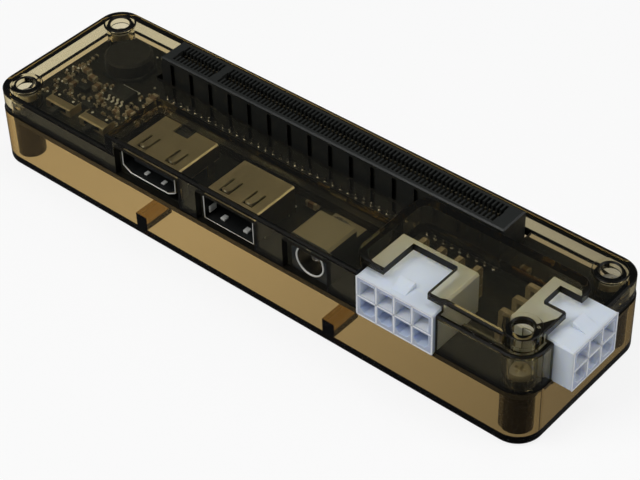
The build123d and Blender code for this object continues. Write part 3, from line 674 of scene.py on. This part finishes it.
DENSE_ZONE = (-66.0, -36.5, -8.6, 4.6)
TINY_CHIP_COUNT = 46
TINY_CHIP_TRIES = 900
TINY_CHIP = (1.0, 0.5)
TINY_CHIP_GAP = 0.3
SWITCH_FRAMES = ("setting_switch_1_frame", "setting_switch_2_frame")
chip_boxes = islands("ceramic_capacitors") + islands("chip_resistors")
taken = chip_boxes + islands("small_transistors")
for name in ("power_inductor_base", "control_chip_body", "control_chip_leads", *SWITCH_FRAMES,
             "card_slot_housing", "link_port_shell"):
    taken += islands(name)


def tiny_chips():
    """Boxes of the smallest chips, strewn over the board's dense corner clear of the larger parts."""
    dice = random.Random(11)
    placed = []
    boxes = list(taken)
    x0, x1, y0, y1 = DENSE_ZONE
    long_side, short_side = TINY_CHIP
    for attempt in range(TINY_CHIP_TRIES):
        if len(placed) >= TINY_CHIP_COUNT:
            break
        x = dice.uniform(x0, x1)
        y = dice.uniform(y0, y1)
        length, depth = (long_side, short_side) if dice.random() < 0.5 else (short_side, long_side)
        reach_x = length / 2 + TINY_CHIP_GAP
        reach_y = depth / 2 + TINY_CHIP_GAP
        clear = all(x + reach_x < low.x or x - reach_x > high.x
                    or y + reach_y < low.y or y - reach_y > high.y for low, high in boxes)
        if not clear:
            continue
        low = Vector((x - length / 2, y - depth / 2, BOARD_TOP))
        high = Vector((x + length / 2, y + depth / 2, BOARD_TOP + short_side))
        boxes.append((low, high))
        placed.append((low, high))
    return placed


chips = tiny_chips()


def chip_bodies(shape):
    for low, high in chips:
        add_block(shape, (low + high) / 2, tuple(high - low), 0.04)


SOLDER_PLACES = (
    (-65.7, -8.8), (-64.4, -8.6), (-65.7, -4.1), (-64.5, -4.1), (-63.3, -4.0), (-66.7, -0.6),
    (-65.0, -0.3), (-66.5, 1.1), (-65.2, 1.4), (-65.1, 2.9), (-62.1, -7.9), (-57.7, -0.1),
    (-52.6, -0.6), (-52.8, -2.9), (-46.8, 1.8), (-54.3, 14.9), (-47.0, 6.6), (-40.1, -2.2),
    (-38.9, -2.9), (-39.5, 0.6), (-50.7, -8.4), (-48.8, -8.4), (0.4, -4.0), (2.3, -4.1),
    (15.5, 3.2), (17.9, 3.6), (16.9, 0.2), (25.2, 2.1), (26.8, -1.2),
)


# solder spots, white as a painted glint
def solder_spots(shape):
    for x, y in SOLDER_PLACES:
        add_dome(shape, (x, y, BOARD_TOP), 0.3, 0.32)
    for low, high in chips[::2]:
        add_dome(shape, (high.x + 0.1, low.y - 0.1, BOARD_TOP), 0.2, 0.3)
    for low, high in chips[1::3]:
        add_dome(shape, (low.x, high.y + 0.15, BOARD_TOP), 0.22, 0.3)


def tinned_ends(shape):
    end_caps(shape, chip_boxes)
    end_caps(shape, chips, 0.28, 0.02)


# Black strips along the rear of the switch cans, with a rivet near each end, white as a painted glint
STRIP_DEPTH = 1.5
RIVET_INSET = 1.5


def switch_bars(shape):
    for name in SWITCH_FRAMES:
        for low, high in islands(name):
            centre = ((low.x + high.x) / 2, high.y - STRIP_DEPTH / 2, high.z - 0.1)
            add_block(shape, centre, (high.x - low.x - 0.5, STRIP_DEPTH, 0.34), 0.08)


def switch_rivets(shape):
    for name in SWITCH_FRAMES:
        for low, high in islands(name):
            for x in (low.x + RIVET_INSET, high.x - RIVET_INSET):
                add_dome(shape, (x, high.y - STRIP_DEPTH / 2, high.z + 0.05), 0.34, 0.16)


# Tails of the card slot's contacts
SLOT_PIN_FIRST = -42.0
SLOT_PIN_PITCH = 2.0
SLOT_PIN_COUNT = 44
SLOT_PIN_ROWS = (5.5, 13.6)
SLOT_PIN_SIZE = (0.42, 0.5, 1.1)


def slot_pins(shape):
    """Tails where they go into the board, each in its solder."""
    for number in range(SLOT_PIN_COUNT):
        x = SLOT_PIN_FIRST + number * SLOT_PIN_PITCH
        for y in SLOT_PIN_ROWS:
            add_block(shape, (x, y, BOARD_TOP + SLOT_PIN_SIZE[2] / 2), SLOT_PIN_SIZE, 0.1)
            add_dome(shape, (x, y, BOARD_TOP), 0.46, 0.4)


new_piece("tiny_chips", ceramic_tan, chip_bodies)
new_piece("solder_spots", painted_glint_white, solder_spots)
new_piece("chip_end_caps", end_tin, tinned_ends)
new_piece("slot_pin_tails", tinned, slot_pins)
new_piece("switch_bars", mouth_shade_and_black_strip, switch_bars)
new_piece("switch_rivets", painted_glint_white, switch_rivets)


# Floor and light
# painted pool of light: the floor seen through the walls glows round this spot and fades over these
# distances
BRIGHT_SPOT = (-0.07, -0.01, 0.0)
SEEN_THROUGH = (0.95, 0.06)
FADE_DISTANCE = (0.05, 0.19)
MIRRORED_FLOOR = 0.08
CAMERA_WHITE = 0.85
FLOOR_HALF = 4.0
SKY_COLOUR = (0.88, 0.94, 1.0)
SKY_STRENGTH = 0.06


def floor_material():
    """White paper that keeps the shadow for the camera. Behind the smoked walls it glows with a painted
    pool of light, white at the left and dimming to the right, and what mirrors it sees a dim grey glow as
    a painted reflection."""
    mat, tree, shader = material("paper")
    output = tree.nodes["Material Output"]
    shader.inputs["Base Color"].default_value = (0.92, 0.92, 0.92, 1)
    shader.inputs["Roughness"].default_value = 0.9
    shader.inputs["Specular IOR Level"].default_value = 0.1
    path = node(tree, "ShaderNodeLightPath")
    place = node(tree, "ShaderNodeTexCoord")
    away = node(tree, "ShaderNodeVectorMath", operation="DISTANCE")
    away.inputs[1].default_value = BRIGHT_SPOT
    tree.links.new(place.outputs["Object"], away.inputs[0])
    sheet = spread(tree, away.outputs["Value"], *SEEN_THROUGH, *FADE_DISTANCE)
    through = node(tree, "ShaderNodeEmission")
    tree.links.new(sheet, through.inputs["Strength"])
    mirrored = node(tree, "ShaderNodeEmission", Strength=MIRRORED_FLOOR)
    glow = node(tree, "ShaderNodeMixShader")
    tree.links.new(path.outputs["Is Transmission Ray"], glow.inputs[0])
    tree.links.new(mirrored.outputs[0], glow.inputs[1])
    tree.links.new(through.outputs[0], glow.inputs[2])
    camera_glow = node(tree, "ShaderNodeEmission", Strength=1.0)
    camera_mix = node(tree, "ShaderNodeMixShader")
    camera_mix.inputs[0].default_value = CAMERA_WHITE
    tree.links.new(shader.outputs[0], camera_mix.inputs[1])
    tree.links.new(camera_glow.outputs[0], camera_mix.inputs[2])
    by_camera = node(tree, "ShaderNodeMixShader")
    tree.links.new(path.outputs["Is Camera Ray"], by_camera.inputs[0])
    tree.links.new(shader.outputs[0], by_camera.inputs[1])
    tree.links.new(camera_mix.outputs[0], by_camera.inputs[2])
    either = node(tree, "ShaderNodeMath", operation="MAXIMUM")
    tree.links.new(path.outputs["Is Glossy Ray"], either.inputs[0])
    tree.links.new(path.outputs["Is Transmission Ray"], either.inputs[1])
    final = node(tree, "ShaderNodeMixShader")
    tree.links.new(either.outputs[0], final.inputs[0])
    tree.links.new(by_camera.outputs[0], final.inputs[1])
    tree.links.new(glow.outputs[0], final.inputs[2])
    tree.links.new(final.outputs[0], output.inputs["Surface"])
    return mat


def add_floor():
    mesh = bpy.data.meshes.new("floor")
    half = FLOOR_HALF
    corners = [(-half, -half, 0), (half, -half, 0), (half, half, 0), (-half, half, 0)]
    mesh.from_pydata(corners, [], [(0, 1, 2, 3)])
    floor = bpy.data.objects.new("floor", mesh)
    bpy.context.collection.objects.link(floor)
    floor.location.z = -0.0001
    mesh.materials.append(floor_material())


def add_lamp(name, azimuth, elevation, distance, size, power):
    """A square soft lamp that looks at the middle of the case."""
    data = bpy.data.lights.new(name, "AREA")
    data.size = size
    data.energy = power
    lamp = bpy.data.objects.new(name, data)
    a = math.radians(azimuth)
    e = math.radians(elevation)
    back = Vector((math.sin(a) * math.cos(e), -math.cos(a) * math.cos(e), math.sin(e)))
    lamp.location = back * distance
    lamp.rotation_mode = "QUATERNION"
    lamp.rotation_quaternion = (-back).to_track_quat("-Z", "Y")
    bpy.context.collection.objects.link(lamp)


def add_world():
    world = bpy.data.worlds.new("studio")
    bpy.context.scene.world = world
    world.use_nodes = True
    background = world.node_tree.nodes["Background"]
    background.inputs["Color"].default_value = (*SKY_COLOUR, 1)
    background.inputs["Strength"].default_value = SKY_STRENGTH


def add_camera():
    data = bpy.data.cameras.new("camera")
    data.sensor_width = SENSOR
    data.lens = FOCAL_PIXELS * SENSOR / FRAME_WIDTH
    data.shift_x = (FRAME_WIDTH / 2 - CENTRE_X) / FRAME_WIDTH
    data.shift_y = (CENTRE_Y - FRAME_HEIGHT / 2) / FRAME_WIDTH
    data.clip_start = 0.01
    data.clip_end = 50
    camera = bpy.data.objects.new("camera", data)
    a = math.radians(CAMERA_AZIMUTH)
    e = math.radians(CAMERA_ELEVATION)
    back = Vector((math.sin(a) * math.cos(e), -math.cos(a) * math.cos(e), math.sin(e)))
    forward = -back
    right = forward.cross(Vector((0, 0, 1))).normalized()
    up = right.cross(forward)
    roll = math.radians(CAMERA_ROLL)
    turned_right = right * math.cos(roll) + up * math.sin(roll)
    turned_up = up * math.cos(roll) - right * math.sin(roll)
    camera.matrix_world = Matrix((
        (turned_right.x, turned_up.x, back.x, 0),
        (turned_right.y, turned_up.y, back.y, 0),
        (turned_right.z, turned_up.z, back.z, 0),
        (0, 0, 0, 1),
    ))
    camera.location = CAMERA_TARGET + back * CAMERA_DISTANCE
    bpy.context.collection.objects.link(camera)
    bpy.context.scene.camera = camera


add_floor()
add_lamp("key_light", -25, 58, 0.9, 0.5, 4.2)
add_lamp("top_light", 150, 78, 1.0, 0.35, 1.6)
add_lamp("side_light", 112, 34, 0.9, 0.5, 2.0)
add_world()
add_camera()
bpy.context.scene.view_settings.view_transform = "Standard"
